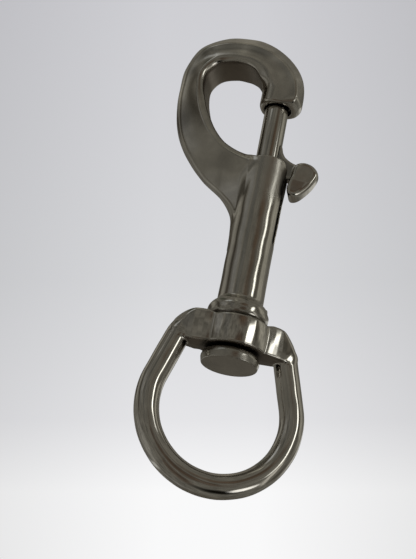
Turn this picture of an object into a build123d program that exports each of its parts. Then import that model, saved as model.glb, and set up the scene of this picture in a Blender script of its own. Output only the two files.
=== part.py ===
from build123d import *
import math
import os

# Swivel-eye bolt snap, millimetres.
# Origin at the centre of the eye's round opening, +Z along the barrel axis towards the hook.
# The hook lies in the XZ plane and bulges to -X; the thumb knob is on +X.

# ---- swivel stud and lock pin ----
HEAD_R = 6.1
HEAD_Z0, HEAD_Z1 = 9.8, 12.4
SHANK_R = 2.95
STUD_TOP = 26.4
STUD_CHAMFER = 0.4
PIN_R = 1.0
PIN_Z = 22.0
PIN_HALF_LENGTH = 5.9
PIN_CHAMFER = 0.2

# ---- sliding bolt ----
BOLT_R = 2.65
BOLT_Z0, BOLT_Z1 = 49.5, 73.2
BOLT_CHAMFER = 0.35      # lower end
BOLT_ROUND = 0.6         # upper end

# ---- barrel ----
RUNNING_GAP = 0.07       # radial clearance of bolt in barrel and of stud in eye
BARREL_R = 4.92
BARREL_Z0, BARREL_Z1 = 19.2, 57.4
BARREL_ROUND = 0.4
BORE_R = BOLT_R + RUNNING_GAP
BORE_Z0 = STUD_TOP + 0.1
SLOT_HALF_WIDTH = 1.42
SLOT_Z0 = 37.5           # lowest point of the slot
SLOT_ROUND_Z = SLOT_Z0 + SLOT_HALF_WIDTH
CUT_OVERRUN = 1.0        # how far cutters reach past open ends
CROSS_CUT = 10.0         # reach of cross-hole cutters from the axis

# Collar outline (radius, z), from the lower face up to the plain barrel.
COLLAR = [(5.6, BARREL_Z0), (6.4, 20.3), (6.4, 21.5), (5.85, 22.8), (5.2, 23.7), (BARREL_R, 25.6)]

# ---- nose ----
NOSE_R = 4.45
NOSE_X = 0.5             # the boss is offset to +X of its socket
NOSE_Z0 = 71.7
NOSE_ROUND = 1.2
DOME_Z = 74.5            # centre of the domed end
SOCKET_R = 2.95
SOCKET_Z1 = 73.3

# ---- hook ----
# Stations from the barrel round to the nose. Columns:
# inner point x, z on the rim of the opening; outer crest point x, z;
# distance of the ridge from the inner rim; ridge half thickness;
# distance of the outer crease from the crest; crease half thickness;
# crest half width; rim drop (ridge half thickness less rim half thickness).
HOOK_STATIONS = [
    (-0.6, 57.2, -5.0, 39.8, 1.0, 4.50, 0.8, 0.90, 0.5, 0.75),
    (-3.6, 57.7, -5.75, 44.0, 1.2, 4.60, 0.9, 2.30, 0.8, 0.75),
    (-6.6, 58.7, -8.6, 48.1, 1.3, 4.65, 0.35, 1.90, 1.0, 0.75),
    (-9.4, 60.4, -13.4, 52.4, 1.4, 4.70, 0.35, 1.65, 0.9, 0.75),
    (-12.05, 63.3, -17.9, 57.4, 1.4, 4.75, 0.5, 2.00, 1.0, 0.75),
    (-14.15, 66.75, -21.1, 62.7, 1.5, 4.80, 0.7, 2.30, 1.0, 0.75),
    (-15.65, 70.3, -22.6, 68.6, 1.5, 4.80, 0.8, 2.30, 1.0, 0.75),
    (-16.75, 74.3, -23.2, 74.6, 1.4, 4.80, 1.0, 2.60, 0.9, 0.75),
    (-16.8, 78.1, -22.9, 81.2, 1.3, 4.80, 1.9, 3.40, 0.9, 0.75),
    (-14.75, 80.8, -20.2, 87.1, 1.2, 4.80, 3.3, 4.50, 0.9, 0.75),
    (-11.4, 81.6, -14.0, 90.1, 1.1, 4.80, 4.0, 4.75, 0.9, 0.75),
    (-8.4, 81.3, -7.4, 90.1, 1.1, 4.80, 3.9, 4.78, 0.9, 0.75),
    (-6.0, 80.1, -1.1, 87.2, 1.3, 4.75, 3.2, 4.70, 0.9, 0.75),
    (-4.75, 78.4, 3.1, 82.7, 1.8, 4.65, 2.3, 4.35, 1.0, 0.75),
    (-4.2, 76.2, 5.2, 77.9, 2.2, 4.50, 1.3, 4.05, 1.2, 1.1),
    (-4.1, 74.0, 5.45, 74.0, 2.3, 4.35, 0.95, 3.85, 1.4, 1.9),
    (-4.1, 71.9, 5.4, 71.9, 2.3, 4.15, 0.95, 3.70, 1.4, 2.4),
]
CREST_OUT = 0.15         # the crest stands this much proud of the station points

# ---- thumb knob ----
KNOB_HALF_Y = 3.0
KNOB_X, KNOB_Z = 7.1, 54.3   # the outline shrinks towards this point at the sides
# Closed outline (x, z) of the middle slice.
KNOB_OUTLINE = [
    (6.45, 56.7), (7.1, 57.45), (8.55, 57.8), (10.3, 57.25), (11.55, 55.5), (10.9, 53.2),
    (9.35, 51.05), (7.65, 49.7), (6.3, 49.85), (5.75, 51.3), (6.2, 54.2),
]
# Slices: y as a fraction of KNOB_HALF_Y, scale of the outline.
KNOB_SLICES = [
    (-1.0, 0.52), (-0.86, 0.78), (-0.5, 0.95), (0.0, 1.0), (0.5, 0.95), (0.86, 0.78), (1.0, 0.52),
]
STEM_X0, STEM_X1 = BOLT_R - 0.6, 7.8
STEM_Z0, STEM_Z1 = 53.85, 57.8
STEM_Z = (STEM_Z0 + STEM_Z1) / 2
STEM_HALF_Y = 1.3
STEM_ROUND = 1.2
GUSSET_X0, GUSSET_X1 = 2.0, 6.3
GUSSET_Z0, GUSSET_Z1 = 55.5, 62.0
GUSSET_TIP_X = BOLT_R + 0.02
GUSSET_FOOT_Z = 57.7     # where the gusset curve meets the knob
PLUG_R = 1.25
PLUG_X0, PLUG_X1 = 0.125 - BOLT_R, 6.875

# ---- spring ----
SPRING_WIRE_R = 0.25
SPRING_MEAN_R = 2.15
SPRING_TURNS = 12.0
SPRING_END_GAP = 0.05

# ---- swivel eye ----
EYE_R_IN = 12.5          # inner radius of the round part
WIRE_R = 2.55
LEG_LEAN = 16.6          # degrees the straight legs lean inwards
LEG_TOP_Z = 13.0
EYE_REST_TURN = 23.8     # degrees the eye is turned on the swivel at rest
HUB_BORE_R = SHANK_R + RUNNING_GAP
HUB_BOSS_R = 7.45
HUB_Z0, HUB_Z1 = 12.7, 19.0
SHOULDER_TOP = 19.6      # the shoulders stand a little above the top face of the boss
FRONT_HALF_DEPTH = 12.0  # half depth of the front outline's extrusion
# Shoulder plan: distance from the swivel axis, half thickness.
SHOULDER_PLAN = [
    (14.8, 2.3), (13.2, 2.75), (11.6, 3.2), (10.0, 3.5),
    (8.4, 3.75), (7.2, 4.1), (6.0, 4.75), (4.6, 5.7),
]
# Crown ends seen from the front (x, z): +X end upwards, -X end downwards.
CROWN_RIGHT = [
    (9.4, HUB_Z0), (12.3, 13.4), (13.3, 14.8), (12.7, 16.3),
    (11.5, 17.9), (10.1, 19.1), (8.6, SHOULDER_TOP),
]
CROWN_LEFT = [
    (-8.6, SHOULDER_TOP), (-10.3, 19.2), (-11.8, 18.3), (-12.95, 16.7),
    (-13.4, 15.0), (-12.3, 13.4), (-9.4, HUB_Z0),
]
# Recess in the crown's top edge, down to the boss face.
CROWN_TOP = [
    CROWN_RIGHT[-1], (7.2, SHOULDER_TOP), (6.7, HUB_Z1),
    (-6.7, HUB_Z1), (-7.2, SHOULDER_TOP), CROWN_LEFT[0],
]


def z_cylinder(radius, z0, z1):
    """Cylinder on the barrel axis."""
    return Pos(0, 0, (z0 + z1) / 2) * Cylinder(radius, z1 - z0)


def x_cylinder(radius, x0, x1, z):
    """Cylinder along X at height z."""
    return Pos((x0 + x1) / 2, 0, z) * Rot(0, 90, 0) * Cylinder(radius, x1 - x0)


def pin_hole():
    return x_cylinder(PIN_R, -CROSS_CUT, CROSS_CUT, PIN_Z)


def hook_section(station):
    """Eight-sided section, symmetric about the XZ plane."""
    xi, zi, xo, zo, ridge, y_ridge, crease, y_crease, y_crest, drop = station
    length = math.hypot(xo - xi, zo - zi)
    along_x, along_z = (xo - xi) / length, (zo - zi) / length
    # distance outwards from the rim, half thickness
    half = [
        (0.0, y_ridge - drop),
        (ridge, y_ridge),
        (length - crease, y_crease),
        (length + CREST_OUT, y_crest),
    ]
    outline = [(s, -y) for s, y in half] + [(s, y) for s, y in reversed(half)]
    points = [(xi + along_x * s, y, zi + along_z * s) for s, y in outline]
    return Face(Wire.make_polygon(points, close=True)).outer_wire()


def make_barrel():
    """Solid barrel with its rounded collar."""
    top_r = BARREL_R - BARREL_ROUND
    round_start = (BARREL_R, BARREL_Z1 - BARREL_ROUND)
    with BuildPart() as barrel:
        with BuildSketch(Plane.XZ):
            with BuildLine():
                Polyline((0, BARREL_Z0), COLLAR[0])
                Spline(*COLLAR, tangents=((1, 0.15), (0, 1)))
                Polyline(COLLAR[-1], round_start)
                RadiusArc(round_start, (top_r, BARREL_Z1), -BARREL_ROUND)
                Polyline((top_r, BARREL_Z1), (0, BARREL_Z1), (0, BARREL_Z0))
            make_face()
        revolve(axis=Axis.Z)
    return barrel.part


def make_nose():
    """Domed boss that takes the blind socket."""
    flat_end = (NOSE_R - NOSE_ROUND, NOSE_Z0)
    wall_start = (NOSE_R, NOSE_Z0 + NOSE_ROUND)
    dome_top = (0, DOME_Z + NOSE_R)
    with BuildPart() as nose:
        with BuildSketch(Plane.XZ):
            with BuildLine():
                Polyline((0, NOSE_Z0), flat_end)
                RadiusArc(flat_end, wall_start, -NOSE_ROUND)
                Polyline(wall_start, (NOSE_R, DOME_Z))
                RadiusArc((NOSE_R, DOME_Z), dome_top, -NOSE_R)
                Polyline(dome_top, (0, NOSE_Z0))
            make_face()
        revolve(axis=Axis.Z)
    return Pos(NOSE_X, 0, 0) * nose.part


def make_body():
    hook = Solid.make_loft([hook_section(station) for station in HOOK_STATIONS], False)
    body = make_barrel() + Part(hook.wrapped) + make_nose()

    # Bolt bore, stud socket and the blind socket in the nose.
    body -= z_cylinder(BORE_R, BORE_Z0, BARREL_Z1 + CUT_OVERRUN)
    body -= z_cylinder(SHANK_R, BARREL_Z0 - CUT_OVERRUN, BORE_Z0)
    body -= z_cylinder(SOCKET_R, NOSE_Z0 - CUT_OVERRUN, SOCKET_Z1)

    # Slot on +X, open at the top and round at the bottom.
    slot_z1 = BARREL_Z1 + CUT_OVERRUN
    slot = Pos(CROSS_CUT / 2, 0, (SLOT_ROUND_Z + slot_z1) / 2) * Box(
        CROSS_CUT, 2 * SLOT_HALF_WIDTH, slot_z1 - SLOT_ROUND_Z
    )
    slot += x_cylinder(SLOT_HALF_WIDTH, 0, CROSS_CUT, SLOT_ROUND_Z)
    body -= slot
    return body - pin_hole()


def make_bolt():
    bolt = z_cylinder(BOLT_R, BOLT_Z0, BOLT_Z1)
    bolt = chamfer(bolt.edges().filter_by(GeomType.CIRCLE).sort_by(Axis.Z)[0], BOLT_CHAMFER)
    bolt = fillet(bolt.edges().filter_by(GeomType.CIRCLE).sort_by(Axis.Z)[-1], BOLT_ROUND)
    # cross hole for the knob's plug
    return bolt - x_cylinder(PLUG_R, -6, 6, STEM_Z)


def knob_slice(fraction, scale):
    points = [
        (KNOB_X + (x - KNOB_X) * scale, fraction * KNOB_HALF_Y, KNOB_Z + (z - KNOB_Z) * scale)
        for x, z in KNOB_OUTLINE
    ]
    return Wire([Edge.make_spline(points, periodic=True)])


def make_stem():
    """Stem that runs in the slot, with a curved gusset above, saddled on the bolt."""
    stem = Pos((STEM_X0 + STEM_X1) / 2, 0, STEM_Z) * Box(
        STEM_X1 - STEM_X0, 2 * STEM_HALF_Y, STEM_Z1 - STEM_Z0
    )
    stem = fillet(stem.edges().filter_by(Axis.X), STEM_ROUND)
    foot = (GUSSET_X1, GUSSET_FOOT_Z)
    tip = (GUSSET_TIP_X, GUSSET_Z1)
    with BuildPart() as gusset:
        with BuildSketch(Plane.XZ.offset(-STEM_HALF_Y)):
            with BuildLine():
                Polyline(
                    foot, (GUSSET_X1, GUSSET_Z0), (GUSSET_X0, GUSSET_Z0),
                    (GUSSET_X0, GUSSET_Z1), tip,
                )
                Spline(tip, (3.7, 59.8), foot, tangents=((0.1, -1), (1, -0.25)))
            make_face()
        extrude(amount=2 * STEM_HALF_Y)
    stem += gusset.part
    return stem - Pos(0, 0, STEM_Z) * Cylinder(BOLT_R, 20)


def make_knob():
    slices = [knob_slice(fraction, scale) for fraction, scale in KNOB_SLICES]
    head = Part(Solid.make_loft(slices, False).wrapped)
    # The plug's far end is trimmed to a cylinder just inside the bolt surface.
    plug = x_cylinder(PLUG_R, PLUG_X0, PLUG_X1, STEM_Z)
    plug = plug & (
        Pos(0, 0, STEM_Z) * Cylinder(BOLT_R - 0.05, 12) + Pos(6.4, 0, STEM_Z) * Box(8, 8, 8)
    )
    return head + make_stem() + plug


def make_spring():
    """Open coil between the stud top and the bolt's lower end."""
    z0 = STUD_TOP + SPRING_END_GAP + SPRING_WIRE_R
    height = BOLT_Z0 - SPRING_END_GAP - SPRING_WIRE_R - z0
    helix = Helix(
        pitch=height / SPRING_TURNS, height=height, radius=SPRING_MEAN_R, center=(0, 0, z0)
    )
    with BuildPart() as spring:
        with BuildSketch(Plane(helix @ 0, z_dir=helix % 0)):
            Circle(SPRING_WIRE_R)
        sweep(path=helix, is_frenet=True)
    return spring.part


def make_stud():
    head_start = (HEAD_R - 0.55, HEAD_Z0)
    head_end = (HEAD_R - 0.9, HEAD_Z1)
    with BuildPart() as stud:
        with BuildSketch(Plane.XZ):
            with BuildLine():
                Polyline((0, HEAD_Z0), head_start)
                Spline(
                    head_start, (HEAD_R, HEAD_Z0 + 1.25), head_end,
                    tangents=((1, 0.25), (-1, 0.15)),
                )
                Polyline(
                    head_end, (SHANK_R, HEAD_Z1), (SHANK_R, STUD_TOP - STUD_CHAMFER),
                    (SHANK_R - STUD_CHAMFER, STUD_TOP), (0, STUD_TOP), (0, HEAD_Z0),
                )
            make_face()
        revolve(axis=Axis.Z)
    return stud.part - pin_hole()


def make_pin():
    pin = x_cylinder(PIN_R, -PIN_HALF_LENGTH, PIN_HALF_LENGTH, PIN_Z)
    return chamfer(pin.edges().filter_by(GeomType.CIRCLE), PIN_CHAMFER)


def make_loop():
    """Round wire: an arc under two straight legs with ball ends."""
    mean_r = EYE_R_IN + WIRE_R
    lean = math.radians(LEG_LEAN)
    leg_x, leg_z = mean_r * math.cos(lean), mean_r * math.sin(lean)
    top_x = leg_x - (LEG_TOP_Z - leg_z) * math.tan(lean)
    with BuildLine(Plane.XZ) as path:
        Line((-top_x, LEG_TOP_Z), (-leg_x, leg_z))
        ThreePointArc((-leg_x, leg_z), (0, -mean_r), (leg_x, leg_z))
        Line((leg_x, leg_z), (top_x, LEG_TOP_Z))
    with BuildPart() as wire:
        with BuildSketch(Plane(path.line @ 0, z_dir=path.line % 0)):
            Circle(WIRE_R)
        sweep(path=path.line)
    loop = wire.part
    for side in (-1, 1):
        loop += Pos(side * top_x, 0, LEG_TOP_Z) * Sphere(WIRE_R)
    return loop


def make_crown():
    """Plan shape (boss and tapering shoulders) cut by the front outline."""
    inwards, outwards = SHOULDER_PLAN, SHOULDER_PLAN[::-1]
    with BuildPart() as plan:
        with BuildSketch(Plane.XY.offset(HUB_Z0 - 1)):
            Circle(HUB_BOSS_R)
            with BuildLine():
                Polyline(
                    *[(-x, -y) for x, y in inwards], *[(x, -y) for x, y in outwards],
                    *[(x, y) for x, y in inwards], *[(-x, y) for x, y in outwards],
                    close=True,
                )
            make_face()
        extrude(amount=9)
    with BuildPart() as front:
        with BuildSketch(Plane.XZ.offset(-FRONT_HALF_DEPTH)):
            with BuildLine():
                Polyline(CROWN_LEFT[-1], CROWN_RIGHT[0])
                Spline(*CROWN_RIGHT, tangents=((1, 0), (-1, 0)))
                Polyline(*CROWN_TOP)
                Spline(*CROWN_LEFT, tangents=((-1, 0), (1, 0)))
            make_face()
        extrude(amount=2 * FRONT_HALF_DEPTH)
    return plan.part & front.part


def make_eye():
    eye = make_loop() + make_crown()
    eye -= z_cylinder(HUB_BORE_R, 10, 22)
    return Rot(0, 0, EYE_REST_TURN) * eye


PIECES = {
    "snap_body": make_body,
    "sliding_bolt": make_bolt,
    "thumb_knob": make_knob,
    "bolt_spring": make_spring,
    "swivel_stud": make_stud,
    "stud_lock_pin": make_pin,
    "swivel_eye": make_eye,
}

os.makedirs("parts", exist_ok=True)
for name, make in PIECES.items():
    solids = make().solids()
    piece = solids[0] if len(solids) == 1 else Compound(children=list(solids))
    export_step(piece, f"parts/{name}.step")
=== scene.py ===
import math

import bpy
import numpy as np
from mathutils import Matrix, Vector


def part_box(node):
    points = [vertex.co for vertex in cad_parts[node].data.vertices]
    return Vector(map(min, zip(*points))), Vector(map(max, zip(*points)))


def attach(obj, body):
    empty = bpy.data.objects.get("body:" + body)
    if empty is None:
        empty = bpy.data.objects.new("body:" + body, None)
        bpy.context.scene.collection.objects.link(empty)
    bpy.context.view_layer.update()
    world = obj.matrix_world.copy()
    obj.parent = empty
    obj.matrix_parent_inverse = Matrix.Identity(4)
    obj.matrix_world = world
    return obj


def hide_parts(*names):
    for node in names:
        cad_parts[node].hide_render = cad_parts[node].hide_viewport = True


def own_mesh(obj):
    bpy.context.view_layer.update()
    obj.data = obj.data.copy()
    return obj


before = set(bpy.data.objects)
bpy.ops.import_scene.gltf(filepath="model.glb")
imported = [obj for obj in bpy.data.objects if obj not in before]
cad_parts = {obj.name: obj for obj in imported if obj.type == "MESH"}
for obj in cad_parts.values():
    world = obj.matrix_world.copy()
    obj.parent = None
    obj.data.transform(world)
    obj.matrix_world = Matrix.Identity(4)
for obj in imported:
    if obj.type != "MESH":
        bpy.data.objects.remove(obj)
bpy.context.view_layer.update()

MM = 0.001
VOX = 0.22

# ------------------------------------------------------------------ small geometry kit (millimetres)


def smin(a, b, k):
    h = np.maximum(k - np.abs(a - b), 0.0) / k
    return np.minimum(a, b) - h * h * k * 0.25


def smax(a, b, k):
    return -smin(-a, -b, k)


def rmax(a, b, r):
    """Intersection whose convex edge is rounded to radius r."""
    return np.minimum(-r, np.maximum(a, b)) + np.hypot(np.maximum(a + r, 0), np.maximum(b + r, 0))


def spline(points, n=10, closed=False):
    """Centripetal-like smooth curve through rows of numbers; every column is interpolated."""
    p = np.asarray(points, float)
    m = len(p)
    out = []
    last = m if closed else m - 1
    for i in range(last):
        if closed:
            p0, p1, p2, p3 = p[(i - 1) % m], p[i % m], p[(i + 1) % m], p[(i + 2) % m]
        else:
            p1, p2 = p[i], p[i + 1]
            p0 = p[i - 1] if i > 0 else 2 * p1 - p2
            p3 = p[i + 2] if i + 2 < m else 2 * p2 - p1
        d0 = max(np.linalg.norm((p1 - p0)[:2]) ** 0.5, 1e-6)
        d1 = max(np.linalg.norm((p2 - p1)[:2]) ** 0.5, 1e-6)
        d2 = max(np.linalg.norm((p3 - p2)[:2]) ** 0.5, 1e-6)
        m1 = (p1 - p0) / d0 - (p2 - p0) / (d0 + d1) + (p2 - p1) / d1
        m2 = (p2 - p1) / d1 - (p3 - p1) / (d1 + d2) + (p3 - p2) / d2
        m1, m2 = m1 * d1, m2 * d1
        for t in np.linspace(0, 1, n, endpoint=False):
            t2, t3 = t * t, t * t * t
            out.append((2 * t3 - 3 * t2 + 1) * p1 + (t3 - 2 * t2 + t) * m1 + (-2 * t3 + 3 * t2) * p2 + (t3 - t2) * m2)
    if not closed:
        out.append(p[-1])
    return np.array(out)


class Table:
    """Values on a flat grid, read with bilinear interpolation."""

    def __init__(self, lo, hi, step):
        self.lo, self.step = np.array(lo, float), step
        self.n = [int(math.ceil((h - l) / step)) + 1 for l, h in zip(lo, hi)]
        u = self.lo[0] + step * np.arange(self.n[0])
        v = self.lo[1] + step * np.arange(self.n[1])
        self.u, self.v = np.meshgrid(u, v, indexing="ij")

    def read(self, values, a, b):
        x = np.clip((a - self.lo[0]) / self.step, 0, self.n[0] - 1.001)
        y = np.clip((b - self.lo[1]) / self.step, 0, self.n[1] - 1.001)
        i, j = x.astype(np.int64), y.astype(np.int64)
        fx, fy = x - i, y - j
        return (
            values[i, j] * (1 - fx) * (1 - fy) + values[i + 1, j] * fx * (1 - fy)
            + values[i, j + 1] * (1 - fx) * fy + values[i + 1, j + 1] * fx * fy
        )


def polygon_distance(u, v, poly, cols=None):
    """Distance from each point to a closed polygon, negative inside. With cols (one row of numbers per
    corner) it also gives those numbers at the nearest point of the outline."""
    shape = u.shape
    px, py = u.ravel(), v.ravel()
    best = np.full(px.shape, 1e18)
    inside = np.zeros(px.shape, bool)
    got = None if cols is None else np.zeros((len(px), cols.shape[1]))
    q = np.roll(poly, -1, axis=0)
    cq = None if cols is None else np.roll(cols, -1, axis=0)
    for k in range(len(poly)):
        ax, ay, bx, by = poly[k, 0], poly[k, 1], q[k, 0], q[k, 1]
        dx, dy = bx - ax, by - ay
        l2 = dx * dx + dy * dy
        if l2 < 1e-12:
            continue
        t = np.clip(((px - ax) * dx + (py - ay) * dy) / l2, 0, 1)
        d = (px - ax - t * dx) ** 2 + (py - ay - t * dy) ** 2
        near = d < best
        best[near] = d[near]
        if got is not None:
            got[near] = cols[k] + t[near, None] * (cq[k] - cols[k])
        cross = (ay > py) != (by > py)
        if cross.any():
            xi = ax + (py - ay) * dx / np.where(abs(dy) < 1e-12, 1e-12, dy)
            inside ^= cross & (px < xi)
    dist = np.sqrt(best) * np.where(inside, -1.0, 1.0)
    if got is None:
        return dist.reshape(shape)
    return dist.reshape(shape), got.reshape(shape + (cols.shape[1],))


def box_blur(a, passes):
    """Softens a table a little, so creases in a looked-up number don't show."""
    for _ in range(passes):
        p = np.pad(a, 1, mode="edge")
        a = (p[:-2, 1:-1] + p[2:, 1:-1] + p[1:-1, :-2] + p[1:-1, 2:] + 4 * p[1:-1, 1:-1]) / 8
    return a


def surface(fn, lo, hi, h, relax=3):
    """Closed quad mesh of the zero surface of fn, in millimetres: surface nets, then the points are
    relaxed along the surface and projected on to it. Returns points, quads and normals."""
    xs = [np.arange(l, u + h, h) for l, u in zip(lo, hi)]
    nx, ny, nz = [len(x) for x in xs]
    F = np.empty((nx, ny, nz), np.float32)
    step = max(1, int(600000 / (nx * ny)))
    for k in range(0, nz, step):
        X, Y, Z = np.meshgrid(xs[0], xs[1], xs[2][k:k + step], indexing="ij")
        F[:, :, k:k + step] = fn(X, Y, Z)
    S = F < 0
    c = [S[a:nx - 1 + a, b:ny - 1 + b, d:nz - 1 + d] for a in (0, 1) for b in (0, 1) for d in (0, 1)]
    any_in = c[0].copy()
    all_in = c[0].copy()
    for s in c[1:]:
        any_in |= s
        all_in &= s
    active = any_in & ~all_in
    idx = np.argwhere(active)
    number = -np.ones(active.shape, np.int64)
    number[active] = np.arange(len(idx))
    total = np.zeros((len(idx), 3))
    count = np.zeros(len(idx))
    corners = [(a, b, d) for a in (0, 1) for b in (0, 1) for d in (0, 1)]
    for ia, ca in enumerate(corners):
        for cb in corners[ia + 1:]:
            diff = [abs(m - n) for m, n in zip(ca, cb)]
            if sum(diff) != 1:
                continue
            fa = F[idx[:, 0] + ca[0], idx[:, 1] + ca[1], idx[:, 2] + ca[2]].astype(float)
            fb = F[idx[:, 0] + cb[0], idx[:, 1] + cb[1], idx[:, 2] + cb[2]].astype(float)
            hit = (fa < 0) != (fb < 0)
            t = np.where(hit, fa / np.where(hit, fa - fb, 1), 0)
            for ax in range(3):
                total[hit, ax] += ca[ax] + t[hit] * (cb[ax] - ca[ax])
            count[hit] += 1
    P = np.array(lo, float) + (idx + total / count[:, None]) * h
    quads = []
    for ax in range(3):
        sh = [nx, ny, nz]
        sl_a = [slice(0, sh[i]) for i in range(3)]
        sl_b = list(sl_a)
        sl_a[ax] = slice(0, sh[ax] - 1)
        sl_b[ax] = slice(1, sh[ax])
        cross = S[tuple(sl_a)] != S[tuple(sl_b)]
        o1, o2 = [i for i in range(3) if i != ax]
        e = np.argwhere(cross)
        e = e[(e[:, o1] > 0) & (e[:, o2] > 0) & (e[:, o1] < sh[o1] - 1) & (e[:, o2] < sh[o2] - 1)]
        first_in = S[e[:, 0], e[:, 1], e[:, 2]]
        ring = []
        for a, b in ((0, 0), (-1, 0), (-1, -1), (0, -1)):
            cc = e.copy()
            cc[:, o1] += a
            cc[:, o2] += b
            ring.append(number[cc[:, 0], cc[:, 1], cc[:, 2]])
        q = np.stack(ring, 1)
        flip = first_in if ax != 1 else ~first_in
        q[~flip] = q[~flip][:, ::-1]
        quads.append(q)
    Q = np.vstack(quads)
    Q = Q[(Q >= 0).all(1)]

    def value(p):
        return fn(p[:, 0], p[:, 1], p[:, 2])

    def gradient(p, e):
        g = np.empty_like(p)
        for i in range(3):
            d = np.zeros(3)
            d[i] = e
            g[:, i] = (value(p + d) - value(p - d)) / (2 * e)
        return g

    def project(p, turns):
        for _ in range(turns):
            g = gradient(p, 0.03)
            g2 = np.maximum((g * g).sum(1), 0.05)
            move = (value(p) / g2)[:, None] * g
            size = np.linalg.norm(move, axis=1)
            move *= np.minimum(1, 0.6 * h / np.maximum(size, 1e-9))[:, None]
            p = p - move
        return p

    P = project(P, 2)
    a = np.concatenate([Q[:, 0], Q[:, 1], Q[:, 2], Q[:, 3]])
    b = np.concatenate([Q[:, 1], Q[:, 2], Q[:, 3], Q[:, 0]])
    for _ in range(relax):
        acc = np.zeros_like(P)
        deg = np.bincount(a, minlength=len(P)) + np.bincount(b, minlength=len(P))
        for i in range(3):
            acc[:, i] = np.bincount(a, weights=P[b, i], minlength=len(P)) + np.bincount(b, weights=P[a, i], minlength=len(P))
        P = project(P * 0.4 + 0.6 * acc / np.maximum(deg, 1)[:, None], 1)
    P = project(P, 1)
    N = gradient(P, 0.09)
    N /= np.maximum(np.linalg.norm(N, axis=1), 1e-9)[:, None]
    return P, Q, N


def mesh_object(name, P, faces, normals=None, scale=MM):
    me = bpy.data.meshes.new(name)
    n = faces.shape[1]
    me.vertices.add(len(P))
    me.vertices.foreach_set("co", (np.asarray(P) * scale).astype(np.float32).ravel())
    me.loops.add(faces.size)
    me.loops.foreach_set("vertex_index", faces.astype(np.int32).ravel())
    me.polygons.add(len(faces))
    me.polygons.foreach_set("loop_start", np.arange(0, faces.size, n, dtype=np.int32))
    me.polygons.foreach_set("use_smooth", np.ones(len(faces), bool))
    me.update(calc_edges=True)
    me.validate()
    if normals is not None and len(normals) == len(me.vertices):
        me.normals_split_custom_set_from_vertices(normals.astype(np.float32))
    ob = bpy.data.objects.new(name, me)
    bpy.context.scene.collection.objects.link(ob)
    return ob


def lathe(name, profile, sides=160, origin=(0, 0, 0), axis="Z"):
    """Closed turned solid from an (r, z) profile that starts and ends on the axis."""
    prof = np.asarray(profile, float)
    ang = np.linspace(0, 2 * math.pi, sides, endpoint=False)
    mid = prof[1:-1]
    ring = np.stack([
        np.stack([r * np.cos(ang), r * np.sin(ang), np.full(sides, z)], 1) for r, z in mid
    ])
    P = np.vstack([[[0, 0, prof[0, 1]]], ring.reshape(-1, 3), [[0, 0, prof[-1, 1]]]])
    tris, quads = [], []
    m = len(mid)
    for j in range(sides):
        k = (j + 1) % sides
        tris.append((0, 1 + k, 1 + j))
        tris.append((len(P) - 1, 1 + (m - 1) * sides + j, 1 + (m - 1) * sides + k))
        for i in range(m - 1):
            quads.append((1 + i * sides + j, 1 + i * sides + k, 1 + (i + 1) * sides + k, 1 + (i + 1) * sides + j))
    if axis == "X":
        P = P[:, [2, 0, 1]]
    P = P + np.array(origin)
    me = bpy.data.meshes.new(name)
    me.from_pydata([tuple(p * MM) for p in P], [], tris + quads)
    me.update()
    me.polygons.foreach_set("use_smooth", np.ones(len(me.polygons), bool))
    ob = bpy.data.objects.new(name, me)
    bpy.context.scene.collection.objects.link(ob)
    return ob


def rounded(profile, radii, n=6):
    """Rounds the corners of an open (r, z) profile; radii holds one radius per corner, 0 for the ends."""
    p = np.asarray(profile, float)
    out = [p[0]]
    for i in range(1, len(p) - 1):
        r = radii[i]
        if r <= 0:
            out.append(p[i])
            continue
        a = (p[i - 1] - p[i]) / np.linalg.norm(p[i - 1] - p[i])
        b = (p[i + 1] - p[i]) / np.linalg.norm(p[i + 1] - p[i])
        half = math.acos(max(-1, min(1, float(a @ b)))) / 2
        d = r / math.tan(half)
        s, e = p[i] + a * d, p[i] + b * d
        c = p[i] + (a + b) / np.linalg.norm(a + b) * (r / math.sin(half))
        va, vb = s - c, e - c
        total = math.acos(max(-1, min(1, float(va @ vb) / (r * r))))
        for t in np.linspace(0, 1, n):
            w0, w1 = math.sin((1 - t) * total) / math.sin(total), math.sin(t * total) / math.sin(total)
            out.append(c + va * w0 + vb * w1)
    out.append(p[-1])
    return np.array(out)


# ------------------------------------------------------------------ dimensions read from the frame, mm
def nbox(node):
    lo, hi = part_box(node)
    return np.array(lo) * 1000, np.array(hi) * 1000


bolt_lo, bolt_hi = nbox("sliding_bolt")
stud_lo, stud_hi = nbox("swivel_stud")
spring_lo, spring_hi = nbox("bolt_spring")
pin_lo, pin_hi = nbox("stud_lock_pin")
BOLT_R = float(bolt_hi[1])
BORE_R = 2.74
BARREL_R = 4.92
Z_BASE, Z_TOP = float(nbox("snap_body")[0][2]), 57.4
SLOT_END, SLOT_HALF = 37.5, 1.42
EYE_TURN = math.radians(23.8)

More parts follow.
